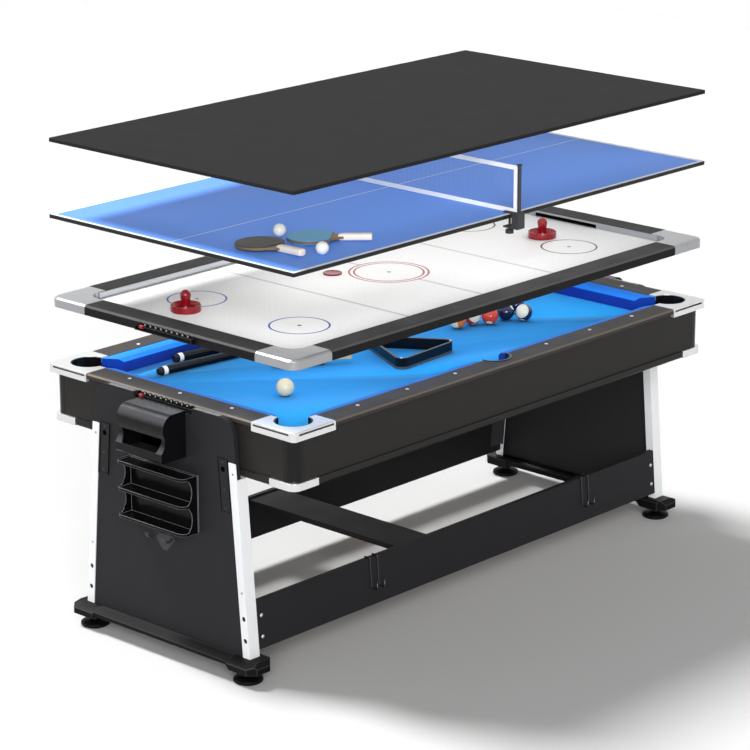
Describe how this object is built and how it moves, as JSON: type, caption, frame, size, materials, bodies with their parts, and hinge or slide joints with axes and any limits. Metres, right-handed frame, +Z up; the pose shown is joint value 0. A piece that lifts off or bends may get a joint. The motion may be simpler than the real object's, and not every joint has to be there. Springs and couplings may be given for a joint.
{
  "type": "multi game table",
  "caption": "Multi game table with a pool bed on end frames and lifted air hockey, table tennis and dining tops, with their balls, cues, bats and strikers.",
  "frame": {"origin": "on the floor, under the centre of the table", "axes": "+X along the table to the end without the rack, +Z up, -Y to the long side with the wire hooks"},
  "size_m": [2.244, 1.116, 1.553],
  "materials": {
    "dark_laminate": "dark brown laminate with a fine grain",
    "panel_laminate": "charcoal laminate",
    "dining_laminate": "matt dark grey laminate",
    "tennis_blue": "blue coated board with white lines",
    "bed_board": "raw fibre board",
    "pool_cloth": "blue felt",
    "cushion_rubber": "rubber under blue felt",
    "air_white": "white laminate with red markings",
    "silver_plastic": "bright silver",
    "satin_silver": "satin silver",
    "black_plastic": "glossy black",
    "matt_black": "matt black",
    "white_metal": "light silver powder coat",
    "steel": "bright zinc",
    "aluminium": "brushed",
    "sight_white": "white",
    "marker_red": "red",
    "ball_resin": "polished resin",
    "striker_red": "red",
    "cue_wood": "black lacquer with a pale shaft",
    "brush_wood": "pale beech",
    "bristle": "dark bristle",
    "net_white": "white tape",
    "net_cord": "dark knotted cord",
    "bat_black": "black rubber faces on plywood",
    "bat_blue": "blue rubber faces on plywood",
    "celluloid": "matt white"
  },
  "bodies": {
    "table": {"end_panels": "panel_laminate", "leg_posts": "white_metal", "foot_bars": "matt_black", "foot_bar_caps": "matt_black", "stretchers": "dark_laminate", "stretcher_brackets": "steel", "cross_stretcher": "dark_laminate", "frame_bolts": "steel", "mounting_cleats": "bed_board", "goal_boxes": "black_plastic", "accessory_rack": "black_plastic", "rack_hook": "matt_black", "lock_plates": "matt_black", "wire_hooks": "steel", "long_aprons": "dark_laminate", "end_aprons": "dark_laminate", "corner_posts": "matt_black", "lower_mouldings": "matt_black", "lower_corners": "silver_plastic", "underside_panel": "bed_board", "pool_bed": "bed_board", "pool_cloth": "pool_cloth", "long_rails": "dark_laminate", "end_rails": "dark_laminate", "cushions": "cushion_rubber", "corner_castings": "silver_plastic", "pocket_liners": "matt_black", "rail_sights": "sight_white", "pool_scorers": "black_plastic", "cue_ball": "ball_resin", "object_balls": "ball_resin", "triangle_rack": "black_plastic", "cue_sticks": "cue_wood", "brush_back": "brush_wood", "brush_bristles": "bristle"},
    "air_deck": {"air_rails": "dark_laminate", "air_corners": "satin_silver", "air_bed": "air_white", "air_wall_strips": "aluminium", "air_scorers": "black_plastic", "strikers": "striker_red", "puck": "striker_red"},
    "tennis_layer": {"tennis_top": "tennis_blue", "net": "net_cord", "net_tapes": "net_white", "net_posts": "white_metal", "bat_black": "bat_black", "bat_blue": "bat_blue", "tennis_balls": "celluloid"},
    "dining_layer": {"dining_top": "dining_laminate"},
    "levelling_foot_near_front": {"levelling_foot_near_front": "matt_black"},
    "levelling_foot_near_back": {"levelling_foot_near_back": "matt_black"},
    "pool_marker_near": {"pool_marker_near": "marker_red"},
    "air_marker_near": {"air_marker_near": "marker_red"},
    "levelling_foot_far_front": {"levelling_foot_far_front": "matt_black"},
    "levelling_foot_far_back": {"levelling_foot_far_back": "matt_black"},
    "pool_marker_far": {"pool_marker_far": "marker_red"},
    "air_marker_far": {"air_marker_far": "marker_red"},
    "clamp_screw_front": {"clamp_screw_front": "matt_black"},
    "clamp_screw_back": {"clamp_screw_back": "matt_black"}
  },
  "joints": [
    {"name": "air_lift", "type": "slide", "parent": "table", "child": "air_deck", "axis": [0, 0, 1], "range_m": [-0.184, 0]},
    {"name": "tennis_lift", "type": "slide", "parent": "air_deck", "child": "tennis_layer", "axis": [0, 0, 1], "range_m": [-0.19, 0]},
    {"name": "dining_lift", "type": "slide", "parent": "tennis_layer", "child": "dining_layer", "axis": [0, 0, 1], "range_m": [-0.066, 0]},
    {"name": "levelling_foot_near_front_turn", "type": "hinge", "parent": "table", "child": "levelling_foot_near_front", "pos_m": [-1.01, -0.345, 0.03], "axis": [0, 0, 1], "continuous": true},
    {"name": "levelling_foot_near_back_turn", "type": "hinge", "parent": "table", "child": "levelling_foot_near_back", "pos_m": [-1.01, 0.345, 0.03], "axis": [0, 0, 1], "continuous": true},
    {"name": "pool_marker_near_slide", "type": "slide", "parent": "table", "child": "pool_marker_near", "axis": [0, -1, 0], "range_m": [0, 0.2]},
    {"name": "air_marker_near_slide", "type": "slide", "parent": "air_deck", "child": "air_marker_near", "axis": [0, -1, 0], "range_m": [0, 0.2]},
    {"name": "levelling_foot_far_front_turn", "type": "hinge", "parent": "table", "child": "levelling_foot_far_front", "pos_m": [1.01, -0.345, 0.03], "axis": [0, 0, 1], "continuous": true},
    {"name": "levelling_foot_far_back_turn", "type": "hinge", "parent": "table", "child": "levelling_foot_far_back", "pos_m": [1.01, 0.345, 0.03], "axis": [0, 0, 1], "continuous": true},
    {"name": "pool_marker_far_slide", "type": "slide", "parent": "table", "child": "pool_marker_far", "axis": [0, 1, 0], "range_m": [0, 0.2]},
    {"name": "air_marker_far_slide", "type": "slide", "parent": "air_deck", "child": "air_marker_far", "axis": [0, 1, 0], "range_m": [0, 0.2]},
    {"name": "clamp_screw_front_turn", "type": "hinge", "parent": "tennis_layer", "child": "clamp_screw_front", "pos_m": [0, -0.511, 1.27], "axis": [0, 0, 1], "continuous": true},
    {"name": "clamp_screw_back_turn", "type": "hinge", "parent": "tennis_layer", "child": "clamp_screw_back", "pos_m": [0, 0.511, 1.27], "axis": [0, 0, 1], "continuous": true}
  ]
}
